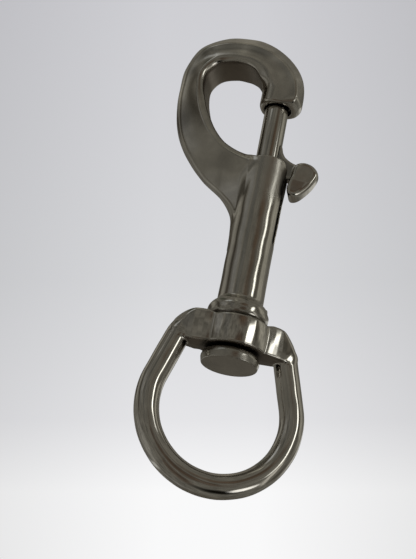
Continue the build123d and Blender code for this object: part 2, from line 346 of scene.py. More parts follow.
# ------------------------------------------------------------------ snap body
# inner point x, z; outer crest point x, z; ridge distance, ridge half thickness; outer crease distance,
# crease half thickness; crest half width: the same stations as the CAD solid.
SECTIONS = np.array([
    (-0.6, 57.2, -5.0, 39.8, 1.0, 4.50, 0.8, 0.90, 0.5),
    (-3.6, 57.7, -5.75, 44.0, 1.2, 4.60, 0.9, 2.30, 0.8),
    (-6.6, 58.7, -8.6, 48.1, 1.3, 4.65, 0.32, 1.90, 1.0),
    (-9.4, 60.4, -13.55, 52.25, 1.4, 4.70, 0.3, 1.55, 0.9),
    (-12.05, 63.3, -17.9, 57.4, 1.4, 4.75, 0.5, 2.00, 1.0),
    (-14.1, 66.8, -20.95, 62.8, 1.5, 4.80, 0.7, 2.30, 1.0),
    (-15.65, 70.3, -22.6, 68.6, 1.5, 4.80, 0.8, 2.30, 1.0),
    (-16.75, 74.3, -23.2, 74.6, 1.4, 4.80, 1.0, 2.60, 0.9),
    (-16.8, 78.1, -22.9, 81.2, 1.3, 4.80, 1.9, 3.40, 0.9),
    (-14.75, 80.8, -20.2, 87.1, 1.2, 4.80, 3.3, 4.50, 0.9),
    (-11.4, 81.6, -14.0, 90.15, 1.1, 4.80, 4.0, 4.75, 0.9),
    (-8.4, 81.3, -7.4, 90.1, 1.1, 4.80, 3.9, 4.78, 0.9),
    (-7.1, 80.8, -4.2, 89.05, 1.2, 4.78, 3.6, 4.76, 0.9),
    (-6.0, 80.1, -1.1, 87.2, 1.3, 4.75, 3.2, 4.70, 0.9),
    (-5.3, 79.3, 1.2, 85.1, 1.6, 4.70, 2.8, 4.55, 0.9),
    (-4.75, 78.4, 3.1, 82.7, 1.8, 4.65, 2.3, 4.35, 1.0),
    (-4.4, 77.3, 4.45, 80.2, 2.0, 4.55, 1.8, 4.20, 1.1),
    (-4.2, 76.2, 5.1, 77.85, 2.2, 4.50, 1.3, 4.05, 1.2),
    (-4.1, 74.8, 5.35, 75.6, 2.3, 4.47, 1.0, 3.95, 1.3),
    (-4.1, 73.4, 5.35, 73.4, 2.3, 4.45, 0.75, 3.90, 1.4),
])
inner = spline(SECTIONS[:, [0, 1, 4, 5]], 14)
outer = spline(SECTIONS[:, [2, 3, 6, 7, 8]], 14)
NOSE_X, NOSE_R, NOSE_Z = 0.62, 4.72, 71.75


def with_ends(curve, head, tail):
    first, last = curve[0], curve[-1]
    rows = [np.concatenate([p, first[2:]]) for p in head] + list(curve) + [np.concatenate([p, last[2:]]) for p in tail]
    return np.array(rows)


outer_c = with_ends(outer, [(40.0, 36.0), (-4.75, 36.0)], [(5.35, 66.0), (40.0, 66.0)])
inner_c = with_ends(inner, [(30.0, 57.2), (0.0, 57.2)], [(-4.3, 67.0), (30.0, 67.0)])
tab = Table((-26.0, 34.0), (9.0, 94.0), 0.1)
D_OUT, C_OUT = polygon_distance(tab.u, tab.v, outer_c[:, :2], outer_c[:, 2:])
D_IN, C_IN = polygon_distance(tab.u, tab.v, inner_c[:, :2], inner_c[:, 2:])
D_OUT = -D_OUT          # positive inside the outer crest line
CR_D, CR_Y, CREST_Y = [box_blur(C_OUT[:, :, i], 30) for i in range(3)]
RI_D, RI_Y = [box_blur(C_IN[:, :, i], 30) for i in range(2)]
RIM_DROP = 0.75
t_face = np.clip((D_OUT - CR_D) / np.maximum(D_OUT - CR_D + D_IN - RI_D, 0.3), 0, 1)
HOLLOW = 0.22           # the broad face is slightly hollow
FACE = CR_Y + (RI_Y - CR_Y) * t_face - HOLLOW * 4 * t_face * (1 - t_face)
GX, GZ = tab.u, tab.v
swell = np.clip((GX + 9.0) / 6.0, 0, 1) ** 1.4 * np.clip((GZ - 44.0) / 4.0, 0, 1) * (GZ < 62)
FACE = FACE + 0.55 * swell
FACE = np.where(GZ < 62, 0.5 * (FACE + 4.86 - np.sqrt((FACE - 4.86) ** 2 + 0.03)), FACE)
BEVEL_OUT = CREST_Y + (CR_Y - CREST_Y) * D_OUT / CR_D
BEVEL_IN = RI_Y - RIM_DROP + RIM_DROP * D_IN / RI_D
K_OUT = 1.0 / np.sqrt(1 + ((CR_Y - CREST_Y) / CR_D) ** 2)
K_IN = 1.0 / np.sqrt(1 + (RIM_DROP / RI_D) ** 2)


def wave(x, y, z, size, seed=0.0):
    """Slow, smooth unevenness of a polished casting, about -1 to 1."""
    s = 2 * math.pi / size
    return (
        np.sin(s * (x * 0.9 + z * 0.35) + 1.3 + seed) * np.cos(s * (y * 0.8 - z * 0.75) + 0.4)
        + 0.6 * np.sin(s * 1.7 * (z * 0.8 - x * 0.5) + 2.1 * seed) * np.cos(s * 1.5 * (y + x * 0.4) + 0.9)
    ) / 1.6


ptab = Table((0.0, 17.0), (9.0, 62.0), 0.1)
barrel_line = rounded(
    [(0, Z_BASE + 1), (4.84, Z_BASE + 1), (4.84, 36.0), (4.9, 48.0), (4.98, Z_TOP), (0, Z_TOP)], [0, 0, 20, 20, 0.35, 0]
)
barrel_poly = np.vstack([barrel_line, [(-3, Z_TOP), (-3, Z_BASE + 1)]])
collar_line = spline([
    (5.0, Z_BASE), (5.7, Z_BASE + 0.1), (6.3, 19.95), (6.5, 20.9), (6.38, 21.9), (5.85, 22.8), (5.1, 23.45), (4.3, 23.8),
], 8)
collar_poly = np.vstack([collar_line, [(-3, 24.0), (-3, Z_BASE)]])
T_BARREL = polygon_distance(ptab.u, ptab.v, barrel_poly)
T_COLLAR = polygon_distance(ptab.u, ptab.v, collar_poly)


def body_fn(x, y, z):
    ay = np.sqrt(y * y + 0.0004)
    d_out, d_in = tab.read(D_OUT, x, z), tab.read(D_IN, x, z)
    face = ay - tab.read(FACE, x, z)
    bo = (ay - tab.read(BEVEL_OUT, x, z)) * tab.read(K_OUT, x, z)
    bi = (ay - tab.read(BEVEL_IN, x, z)) * tab.read(K_IN, x, z)
    hook = smax(smax(face, bo, 0.5), bi, 0.4)
    hook = smax(hook, -d_out - 0.33, 0.8)
    hook = smax(hook, -d_in - 0.05, 0.5 + 0.6 * np.clip((z - 72.0) / 4.0, 0, 1) * np.clip((-9.0 - x) / 2.0, 0, 1))
    # the flank dies away inside the barrel
    low = z < 62.0
    hook = hook + np.where(low, 0.35 * np.maximum(x + 3.0, 0), 0.0)
    hook = np.maximum(hook, np.where(low, x - 1.5, -6.0))
    # the nose over the gate: rounded towards the opening, flat bottomed with a soft edge
    above = (z > 64.0) & (x > -8.0)
    rn = np.sqrt((x - NOSE_X) ** 2 + y * y) - NOSE_R - 0.22 * np.maximum(z - 75.3, 0) ** 2
    back = np.sqrt((x - NOSE_X) ** 2 + y * y) - NOSE_R - 0.3 - 0.16 * np.maximum(z - 72.0, 0) ** 2
    rn = np.where(above & (x < NOSE_X), rn, np.where(above & (y > 0), back, -3.0))
    hook = smax(hook, rn, 0.6)
    soft = 0.8 + 1.3 * np.clip((x - 1.2) / 3.2, 0, 1)
    hook = rmax(hook, np.where(above, NOSE_Z - z, -6.0), soft)
    # barrel and its foot collar
    xb = x - 0.012 * (np.clip(z, 33.0, 58.0) - 43.0) - 0.12 * np.clip((z - 49.0) / 4.0, 0, 1) * np.clip(x / 3.0, 0, 1)
    r = np.sqrt(xb * xb + y * y)
    barrel = smin(ptab.read(T_BARREL, r, z), ptab.read(T_COLLAR, r, z), 0.6)
    blend = 0.7 + 0.5 * np.clip((z - 46.0) / 6.0, 0, 1)
    f = smin(hook, barrel, blend)
    f = f + 0.035 * wave(x, y, z, 9.0)
    # bores and slot
    r = np.sqrt(x * x + y * y)
    f = smax(f, -np.maximum(r - BORE_R, np.maximum(26.4 - z, z - 62.0)), 0.25)
    f = smax(f, -np.maximum(r - 2.97, z - 26.4), 0.2)
    socket = np.sqrt((x - 0.15) ** 2 + y * y) - 3.02
    f = smax(f, -np.maximum(socket, np.maximum(z - 73.3, 62.0 - z)), 0.3)
    slot = np.where(z > SLOT_END + SLOT_HALF, np.abs(y), np.sqrt(y * y + (z - SLOT_END - SLOT_HALF) ** 2)) - SLOT_HALF
    slot = np.maximum(slot, np.maximum(-x, z - 62.0))
    f = smax(f, -slot, 0.2)
    # the slot's mouth is flared where it runs out through the top face
    arc = 4.9 * np.abs(np.arctan2(y, x)) - 1.43
    mouth = rmax(-arc, z - Z_TOP, 2.3)
    f = smax(f, np.where((z > 50.0) & (z < 62.0) & (r < 6.5) & (x > -2.0), mouth, -3.0), 0.3)
    f = smax(f, -(np.sqrt(y * y + (z - 22.0) ** 2) - 1.02), 0.15)
    return f


P, Q, N = surface(body_fn, (-24.4, -7.0, 18.4), (7.0, 7.0, 91.2), VOX)
body = mesh_object("cast_body", P, Q, N)
# the wall of the opening is left as cast: duller than the buffed outside, with its colour darkened as painted shade
deep = np.clip(1.4 - np.abs(tab.read(D_IN, P[:, 0], P[:, 2])) / 0.4, 0, 1)
deep = deep * np.clip((tab.read(RI_Y, P[:, 0], P[:, 2]) - 0.75 - np.abs(P[:, 1])) / 0.35, 0, 1) * (P[:, 2] > 57.6) * (P[:, 0] < -1.0)
if len(body.data.vertices) == len(P):
    att = body.data.attributes.new("unbuffed_painted_shade", "FLOAT", "POINT")
    att.data.foreach_set("value", deep.astype(np.float32))
    # the barrel's upper end is rubbed to a satin beside the slot
    rub = np.clip((P[:, 2] - 45.5) / 3.5, 0, 1) * (P[:, 2] < 57.7) * np.clip((P[:, 0] + 0.5) / 1.5, 0, 1)
    # painted reflections: broad lighter and darker patches of the room's reflections on the hook's faces
    tone = np.zeros(len(P))
    for cx, cz, sx, sz, gain in (
        (-21.3, 74.0, 1.6, 3.2, 0.38), (-20.2, 66.2, 2.6, 3.4, -0.26), (-19.5, 78.5, 1.2, 1.5, -0.24),
        (-18.0, 83.0, 1.5, 1.4, -0.24), (-20.2, 80.7, 0.9, 1.1, 0.16), (-15.6, 85.0, 1.3, 1.0, 0.14),
        (-9.0, 84.8, 1.1, 1.6, 0.24), (-5.6, 84.2, 1.8, 1.6, -0.10), (-1.2, 82.9, 1.8, 1.2, 0.26),
        (2.9, 78.6, 1.0, 2.2, 0.16), (-14.8, 60.5, 2.6, 3.0, 0.12), (-8.5, 55.5, 2.4, 2.0, -0.12),
    ):
        tone += gain * np.exp(-((P[:, 0] - cx) / sx) ** 2 - ((P[:, 2] - cz) / sz) ** 2)
    tone = np.clip(1.7 * tone, -0.5, 0.7)
    att = body.data.attributes.new("tone", "FLOAT", "POINT")
    att.data.foreach_set("value", tone.astype(np.float32))
    att = body.data.attributes.new("satin", "FLOAT", "POINT")
    att.data.foreach_set("value", rub.astype(np.float32))

# ------------------------------------------------------------------ swivel eye
RIN, WIRE = 12.5, 2.55
RC = RIN + WIRE
LEAN = math.radians(16.6)
TX, TZ = RC * math.cos(LEAN), RC * math.sin(LEAN)
LEG_TOP = 13.0
LX = TX - (LEG_TOP - TZ) * math.tan(LEAN)
HUB0, HUB1 = 12.7, 19.0
ct, st = math.cos(EYE_TURN), math.sin(EYE_TURN)
front_outline = np.vstack([
    [(-9.4, HUB0 - 0.4), (9.4, HUB0)],
    spline([(10.9, 12.8), (12.5, 13.4), (13.55, 14.7), (12.95, 16.3), (11.6, 17.9), (10.0, 19.15), (8.4, 19.75)], 8),
    spline([(-8.4, 19.55), (-10.1, 19.2), (-11.7, 18.3), (-12.95, 16.8), (-13.45, 15.0), (-12.4, 13.4), (-10.9, 12.8)], 8),
])
etab = Table((-18.0, 8.0), (18.0, 23.0), 0.1)
E_FRONT = polygon_distance(etab.u, etab.v, front_outline)
half_plan = [(14.8, 1.7), (13.2, 2.2), (11.6, 2.82), (10.6, 3.28), (9.6, 3.68), (8.6, 3.98), (7.6, 4.23), (6.6, 4.42), (5.6, 4.56), (4.6, 4.7)]
plan_outline = np.array(
    [(-e, -n) for e, n in half_plan] + [(e, -n) for e, n in half_plan[::-1]]
    + [(e, n) for e, n in half_plan] + [(-e, n) for e, n in half_plan[::-1]]
)
pltab = Table((-18.0, -10.0), (18.0, 10.0), 0.1)
E_PLAN = box_blur(polygon_distance(pltab.u, pltab.v, plan_outline), 4)


def eye_fn(x, y, z):
    e = x * ct + y * st
    n = -x * st + y * ct
    r2 = np.sqrt(e * e + z * z)
    ae = np.abs(e)
    on_arc = z < ae * math.tan(LEAN)
    d_arc = np.abs(r2 - RC)
    sx, sz = LX - TX, LEG_TOP - TZ
    t = np.clip(((ae - TX) * sx + (z - TZ) * sz) / (sx * sx + sz * sz), 0, 1)
    d_leg = np.sqrt((ae - TX - t * sx) ** 2 + (z - TZ - t * sz) ** 2)
    d2 = np.where(on_arc, d_arc, d_leg)
    wire = np.sqrt(d2 * d2 + n * n) - WIRE
    boss = np.sqrt(e * e + n * n) - 7.42
    # the boss carries a narrow buffed flat on each face
    flat = np.where(n < 0, e * 0.22 - n * 0.9755, -e * 0.22 + n * 0.9755) - 7.37
    boss = smax(boss, flat, 0.03)
    plan = smin(boss, pltab.read(E_PLAN, e, n), 0.2) + 0.024 * (z - 16.6) ** 2
    front = etab.read(E_FRONT, e, z)
    edge = 0.7 + np.where(e > 0, 0.7, 1.8) * np.clip((ae - 9.5) / 3.0, 0, 1) * np.clip((z - 13.8) / 2.5, 0, 1)
    crown = smax(plan, front, edge)
    crown = rmax(crown, HUB0 - 0.3 * np.clip(-e - 6.2, 0, 1) - z, 0.45 + 1.0 * np.clip(n / 2.5, 0, 1))
    crown = rmax(crown, z - HUB1 - 0.6 * np.clip((ae - 5.5) / 1.5, 0, 1), 0.55)
    f = smin(crown, wire, 0.6 + 0.6 * np.clip((z - 12.4) / 2.0, 0, 1))
    f = f + 0.03 * wave(x, y, z, 8.0, 1.7)
    hole = np.sqrt(x * x + y * y) - 3.04
    f = smax(f, -np.maximum(hole, np.abs(z - 16) - 5), 0.35)
    return f


P, Q, N = surface(eye_fn, (-17.6, -11.0, -18.4), (17.6, 11.0, 20.4), VOX)
eye = mesh_object("forged_eye", P, Q, N)
# the underside of the crown is left dull from the forge, with its colour darkened as painted shade
along = np.abs(P[:, 0] * ct + P[:, 1] * st)
under = np.clip((-N[:, 2] - 0.72) / 0.2, 0, 1) * (P[:, 2] > 11.8) * (P[:, 2] < 14.6) * np.clip((12.0 - along) / 1.0, 0, 1)
if len(eye.data.vertices) == len(P):
    att = eye.data.attributes.new("unbuffed_painted_shade", "FLOAT", "POINT")
    att.data.foreach_set("value", under.astype(np.float32))

# ------------------------------------------------------------------ thumb knob
knob_outline = spline([
    (6.45, 56.25), (7.1, 56.95), (8.5, 57.35), (10.25, 56.95), (11.4, 55.35), (10.65, 52.95),
    (9.1, 50.85), (7.4, 49.45), (6.0, 49.6), (5.5, 51.0), (6.2, 53.9),
], 8, closed=True)
ktab = Table((0.0, 44.0), (15.0, 64.0), 0.08)
K_HEAD = polygon_distance(ktab.u, ktab.v, knob_outline)
gusset_line = np.vstack([
    [(7.0, 53.85), (0.0, 53.85), (0.0, 62.4), (2.75, 62.4)],
    spline([(2.75, 62.4), (3.15, 60.9), (3.9, 59.5), (4.9, 58.6), (5.9, 58.0), (7.0, 57.6)], 8),
])
K_STEM = polygon_distance(ktab.u, ktab.v, gusset_line)


def knob_fn(x, y, z):
    ay = np.sqrt(y * y + 0.0004)
    d = ktab.read(K_HEAD, x - 0.15, z - 0.3)
    toe = np.clip((x - 7.0 + 0.5 * (54.0 - z)) / 3.0, 0, 1)
    half = 2.95 - 0.16 * np.clip(x - 6.5, 0, 6) - 0.06 * np.clip(53 - z, 0, 6) - 0.65 * toe
    head = smax(d - 0.2 * toe, (ay - half) * 0.95, 1.0)
    stem = smax(ktab.read(K_STEM, x, z), ay - 1.3, 0.7)
    f = smin(head, stem, 0.7)
    f = f + 0.015 * wave(x, y, z, 5.0, 0.6)
    r = np.sqrt(x * x + y * y)
    f = smax(f, 2.68 - r, 0.15)
    return np.maximum(f, 1.5 - x)


P, Q, N = surface(knob_fn, (1.0, -3.8, 47.8), (12.8, 3.8, 62.6), VOX * 0.7)
knob = mesh_object("thumb_piece", P, Q, N)

# ------------------------------------------------------------------ turned parts
z0, z1 = bolt_lo[2], bolt_hi[2]
bolt = lathe("gate_bolt", rounded(
    [(0, z0), (BOLT_R, z0), (BOLT_R, z1), (0, z1)], [0, 0.35, 0.6, 0]), 192)

h0 = stud_lo[2]
stud_profile = [(0, h0)] + [(r, h0) for r in (1.5, 3.0, 4.2)] + list(rounded(
    [(4.9, h0), (5.85, h0), (6.15, h0 + 1.3), (5.75, h0 + 2.6), (2.95, h0 + 2.65), (2.95, stud_hi[2]), (0, stud_hi[2])],
    [0, 0.3, 0.75, 0.7, 0.1, 0.4, 0], 8))
stud = lathe("stud_body", stud_profile, 192)

pin = lathe("cross_pin", rounded(
    [(0, pin_lo[0]), (1.0, pin_lo[0]), (1.0, pin_hi[0]), (0, pin_hi[0])], [0, 0.2, 0.2, 0]), 48,
    origin=(0, 0, 22.0), axis="X")

# spring: wound wire with closed, ground end turns
WR, MR = 0.25, 2.15
s0, s1 = spring_lo[2] + WR, spring_hi[2] - WR
turns, per, ring = 14.0, 40, 12
steps = int(turns * per) + 1
k = np.linspace(0, turns, steps)


def rise(t):
    end = 1.0
    lead = 2 * WR * 1.02
    free = (s1 - s0 - 2 * lead) / (turns - 2 * end)
    return np.where(t < end, t * lead, np.where(t > turns - end, s1 - s0 - (turns - t) * lead, lead + (t - end) * free))


cz = s0 + rise(k)
cx, cy = MR * np.cos(2 * math.pi * k), MR * np.sin(2 * math.pi * k)
C = np.stack([cx, cy, cz], 1)
T = np.gradient(C, axis=0)
T /= np.linalg.norm(T, axis=1)[:, None]
A = np.stack([np.cos(2 * math.pi * k), np.sin(2 * math.pi * k), 0 * k], 1)
A -= (A * T).sum(1)[:, None] * T
A /= np.linalg.norm(A, axis=1)[:, None]
B = np.cross(T, A)
ph = np.linspace(0, 2 * math.pi, ring, endpoint=False)
V = (C[:, None] + WR * (np.cos(ph)[None, :, None] * A[:, None] + np.sin(ph)[None, :, None] * B[:, None])).reshape(-1, 3)
F = []
for i in range(steps - 1):
    for j in range(ring):
        m = (j + 1) % ring
        F.append((i * ring + j, i * ring + m, (i + 1) * ring + m, (i + 1) * ring + j))
me = bpy.data.meshes.new("wound_spring")
me.from_pydata([tuple(v * MM) for v in V], [], F + [tuple(range(ring))[::-1], tuple((steps - 1) * ring + j for j in range(ring))])
me.update()
me.polygons.foreach_set("use_smooth", np.ones(len(me.polygons), bool))
spring = bpy.data.objects.new("wound_spring", me)
bpy.context.scene.collection.objects.link(spring)


# ------------------------------------------------------------------ materials
class Graph:
    """Short way to wire up shader nodes."""

    def __init__(self, tree):
        self.t = tree
        tree.nodes.clear()

    def node(self, kind, **sockets):
        n = self.t.nodes.new(kind)
        for k, v in sockets.items():
            if hasattr(n, k) and not isinstance(v, bpy.types.NodeSocket):
                setattr(n, k, v)
        return n

    def put(self, socket, v):
        if isinstance(v, bpy.types.NodeSocket):
            self.t.links.new(v, socket)
        else:
            socket.default_value = v

    def math(self, op, a, b=0.0, clamp=False):
        n = self.t.nodes.new("ShaderNodeMath")
        n.operation, n.use_clamp = op, clamp
        self.put(n.inputs[0], a)
        self.put(n.inputs[1], b)
        return n.outputs[0]

    def noise(self, vec, scale, detail=3.0, rough=0.5, distortion=0.0):
        n = self.t.nodes.new("ShaderNodeTexNoise")
        n.inputs["Scale"].default_value = scale
        n.inputs["Detail"].default_value = detail
        n.inputs["Roughness"].default_value = rough
        n.inputs["Distortion"].default_value = distortion
        self.t.links.new(vec, n.inputs["Vector"])
        return n.outputs["Fac"]

    def map(self, vec, scale=(1, 1, 1), rot=(0, 0, 0)):
        n = self.t.nodes.new("ShaderNodeMapping")
        n.inputs["Scale"].default_value = scale
        n.inputs["Rotation"].default_value = rot
        self.t.links.new(vec, n.inputs["Vector"])
        return n.outputs[0]

    def span(self, v, lo, hi, a, b):
        n = self.t.nodes.new("ShaderNodeMapRange")
        n.clamp = True
        self.put(n.inputs[0], v)
        n.inputs[1].default_value, n.inputs[2].default_value = lo, hi
        n.inputs[3].default_value, n.inputs[4].default_value = a, b
        return n.outputs[0]

    def mix(self, f, a, b, mode="MIX"):
        n = self.t.nodes.new("ShaderNodeMixRGB")
        n.blend_type = mode
        self.put(n.inputs[0], f)
        self.put(n.inputs[1], a if isinstance(a, bpy.types.NodeSocket) else (*a, 1))
        self.put(n.inputs[2], b if isinstance(b, bpy.types.NodeSocket) else (*b, 1))
        return n.outputs[0]

    def bump(self, height, distance, strength=1.0, normal=None):
        n = self.t.nodes.new("ShaderNodeBump")
        n.inputs["Strength"].default_value = strength
        n.inputs["Distance"].default_value = distance
        self.t.links.new(height, n.inputs["Height"])
        if normal is not None:
            self.t.links.new(normal, n.inputs["Normal"])
        return n.outputs[0]


def grey_of(g, v):
    n = g.node("ShaderNodeCombineColor")
    for i in range(3):
        g.put(n.inputs[i], v)
    return n.outputs[0]


def steel(name, base, rough, wave=0.000018, wave_scale=260.0, grain=0.5, brush=None, patch=0.5, worn=0.0):
    """Polished stainless: a warm grey metal whose tone, gloss and relief all vary a little. base is the
    reflectance; wave is the height of the slow buffing unevenness in metres; brush is a stretch axis for
    fine parallel marks."""
    m = bpy.data.materials.new(name)
    m.use_nodes = True
    g = Graph(m.node_tree)
    out = g.node("ShaderNodeOutputMaterial")
    bs = g.node("ShaderNodeBsdfPrincipled")
    g.put(out.inputs[0], bs.outputs[0])
    bs.inputs["Metallic"].default_value = 1.0
    co = g.node("ShaderNodeTexCoord").outputs["Object"]
    blotch = g.noise(co, 170.0, 4.0, 0.55, 0.4)
    fine = g.noise(co, 1500.0, 5.0, 0.7)
    speck = g.noise(co, 4200.0, 2.0, 0.6)
    tone = g.span(blotch, 0.36, 0.66, 0.0, 1.0)
    dark = tuple(c * (1 - 0.30 * patch) for c in base)
    col = g.mix(tone, base, dark)
    # painted shade: the base colour is darkened by ambient occlusion in the tight gaps
    ao = g.t.nodes.new("ShaderNodeAmbientOcclusion")
    ao.samples = 6
    ao.inputs["Distance"].default_value = 0.0032
    col = g.mix(1.0, col, grey_of(g, g.span(ao.outputs["AO"], 0.22, 0.82, 0.28, 1.0)), "MULTIPLY")
    col = g.mix(g.span(speck, 0.62, 0.78, 0.0, 0.35 * grain), col, tuple(c * 0.55 for c in base))
    # painted reflection: the base colour is scaled up or down by the patches stored in the tone attribute
    painted_reflection_attr = g.t.nodes.new("ShaderNodeAttribute")
    painted_reflection_attr.attribute_name = "tone"
    col = g.mix(1.0, col, grey_of(g, g.math("ADD", painted_reflection_attr.outputs["Fac"], 1.0)), "MULTIPLY")
    # painted shade: the base colour is darkened on the opening's wall and under the eye's crown
    painted_shade_attr = g.t.nodes.new("ShaderNodeAttribute")
    painted_shade_attr.attribute_name = "unbuffed_painted_shade"
    col = g.mix(painted_shade_attr.outputs["Fac"], col, g.mix(1.0, col, (0.50, 0.46, 0.43), "MULTIPLY"))
    g.put(bs.inputs["Base Color"], col)
    marks = g.noise(g.map(co, (1, 1, 18) if brush is None else brush, (0.35, 0.9, 0.2) if brush is None else (0, 0, 0)),
                    520.0, 4.0, 0.6)
    marks2 = g.noise(g.map(co, (14, 1, 1), (0.2, 0.4, 1.1)), 420.0, 3.0, 0.6)
    both = g.math("ADD", g.math("MULTIPLY", marks, 0.5), g.math("MULTIPLY", marks2, 0.5))
    gloss = g.math("ADD", g.span(both, 0.3, 0.7, rough * 0.78, rough * 1.3),
                   g.span(blotch, 0.35, 0.7, -0.25 * rough * patch, 0.45 * rough * patch))
    # worn duller towards the gate
    height = g.node("ShaderNodeSeparateXYZ")
    g.put(height.inputs[0], co)
    gloss = g.math("ADD", gloss, g.span(height.outputs[2], 0.036, 0.056, 0.0, worn))
    raw = g.t.nodes.new("ShaderNodeAttribute")
    raw.attribute_name = "unbuffed_painted_shade"
    raw = raw.outputs["Fac"]
    gloss = g.math("ADD", g.math("MULTIPLY", gloss, g.span(raw, 0, 1, 1.0, 0.2)), g.math("MULTIPLY", raw, 0.40))
    sat = g.t.nodes.new("ShaderNodeAttribute")
    sat.attribute_name = "satin"
    gloss = g.math("ADD", gloss, g.math("MULTIPLY", sat.outputs["Fac"], 0.17))
    g.put(bs.inputs["Roughness"], gloss)
    slow = g.noise(co, wave_scale, 2.0, 0.5)
    nrm = g.bump(slow, wave)
    nrm = g.bump(both, 0.0000014, 1.0, nrm)
    nrm = g.bump(fine, 0.0000030 * (0.3 + grain), 1.0, nrm)
    g.put(bs.inputs["Normal"], nrm)
    return m


cast = steel("steel_cast_polished", (0.62, 0.595, 0.545), 0.10, wave=0.00003, grain=0.9, patch=0.6, worn=0.07)
knob_mat = steel("steel_knob", (0.62, 0.595, 0.545), 0.10, wave=0.00002, grain=0.8, patch=0.6)
forged = steel("steel_forged_polished", (0.62, 0.595, 0.55), 0.085, wave=0.00002, wave_scale=220.0, grain=0.5)
rod = steel("steel_turned_rod", (0.62, 0.60, 0.555), 0.10, wave=0.000006, brush=(9, 9, 1), grain=0.4)
wire = steel("steel_spring_wire", (0.56, 0.55, 0.53), 0.26, wave=0.0, grain=0.3)
ground = steel("steel_stud", (0.55, 0.53, 0.49), 0.22, wave=0.000004, brush=(1, 12, 1), grain=0.8)
pinm = steel("steel_pin", (0.56, 0.55, 0.52), 0.26, wave=0.0, grain=0.4)

for ob, mat, body_name, node, slot in (
    (body, cast, "barrel", "snap_body", "cast_body"),
    (stud, ground, "barrel", "swivel_stud", "stud_steel"),
    (pin, pinm, "barrel", "stud_lock_pin", "pin_steel"),
    (spring, wire, "barrel", "bolt_spring", "spring_steel"),
    (bolt, rod, "bolt", "sliding_bolt", "bolt_steel"),
    (knob, knob_mat, "bolt", "thumb_knob", "knob_steel"),
    (eye, forged, "eye", "swivel_eye", "eye_steel"),
):
    ob.data.materials.append(mat)
    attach(ob, body_name)
    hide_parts(node)
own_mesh(spring)

# ------------------------------------------------------------------ stage
FLOOR_Z = -0.16
VIEW = Matrix(((0.969897, -0.099073, 0.222451), (0.160775, -0.425576, -0.890526), (0.182897, 0.899483, -0.396837)))

me = bpy.data.meshes.new("floor")
me.from_pydata([(-4, -4, FLOOR_Z), (4, -4, FLOOR_Z), (4, 4, FLOOR_Z), (-4, 4, FLOOR_Z)], [], [(0, 1, 2, 3)])
floor = bpy.data.objects.new("floor", me)
bpy.context.scene.collection.objects.link(floor)
pale = bpy.data.materials.new("pale_floor")
pale.use_nodes = True
g = Graph(pale.node_tree)
out = g.node("ShaderNodeOutputMaterial")
top = g.node("ShaderNodeBsdfDiffuse")
co = g.node("ShaderNodeTexCoord").outputs["Object"]
g.put(top.inputs["Color"], g.mix(g.noise(co, 9.0, 4.0), (0.74, 0.74, 0.755), (0.80, 0.80, 0.81)))
clear = g.node("ShaderNodeBsdfTransparent")
lp = g.node("ShaderNodeLightPath")
geo = g.node("ShaderNodeNewGeometry")
hide = g.math("MAXIMUM", lp.outputs["Is Glossy Ray"], geo.outputs["Backfacing"])
mx = g.node("ShaderNodeMixShader")
g.put(mx.inputs[0], hide)
g.put(mx.inputs[1], top.outputs[0])
g.put(mx.inputs[2], clear.outputs[0])
g.put(out.inputs[0], mx.outputs[0])
floor.data.materials.append(pale)

# The studio: a dim warm room with soft cards. A card is placed by the tilt (x right, y up, seen from the
# camera) of a surface that mirrors it into the lens, with a half size and an amount of light.
world = bpy.data.worlds.new("studio")
bpy.context.scene.world = world
world.use_nodes = True
g = Graph(world.node_tree)
out = g.node("ShaderNodeOutputWorld")
coord = g.node("ShaderNodeTexCoord")
ray = coord.outputs["Generated"]


def along(axis):
    n = g.node("ShaderNodeVectorMath")
    n.operation = "DOT_PRODUCT"
    g.put(n.inputs[0], ray)
    n.inputs[1].default_value = axis
    return n.outputs["Value"]


right, up, back = [tuple(VIEW.col[i]) for i in range(3)]
rx, ry, rz = along(right), along(up), along(back)
hz = g.math("ADD", rz, 1.0)
length = g.math("SQRT", g.math("ADD", g.math("ADD", g.math("MULTIPLY", rx, rx), g.math("MULTIPLY", ry, ry)),
                               g.math("ADD", g.math("MULTIPLY", hz, hz), 0.0001)))
hx, hy = g.math("DIVIDE", rx, length), g.math("DIVIDE", ry, length)


def card(cx, cy, sx, sy, turn=0.0, power=1.0):
    """Soft-edged elliptical patch, 1 in the middle and 0 outside."""
    dx, dy = g.math("SUBTRACT", hx, cx), g.math("SUBTRACT", hy, cy)
    c, s_ = math.cos(math.radians(turn)), math.sin(math.radians(turn))
    u = g.math("DIVIDE", g.math("ADD", g.math("MULTIPLY", dx, c), g.math("MULTIPLY", dy, s_)), sx)
    v = g.math("DIVIDE", g.math("SUBTRACT", g.math("MULTIPLY", dy, c), g.math("MULTIPLY", dx, s_)), sy)
    q = g.math("ADD", g.math("MULTIPLY", u, u), g.math("MULTIPLY", v, v))
    if power != 1.0:
        q = g.math("POWER", q, power)
    return g.math("EXPONENT", g.math("MULTIPLY", q, -1.0))


def grey(v):
    return grey_of(g, v)


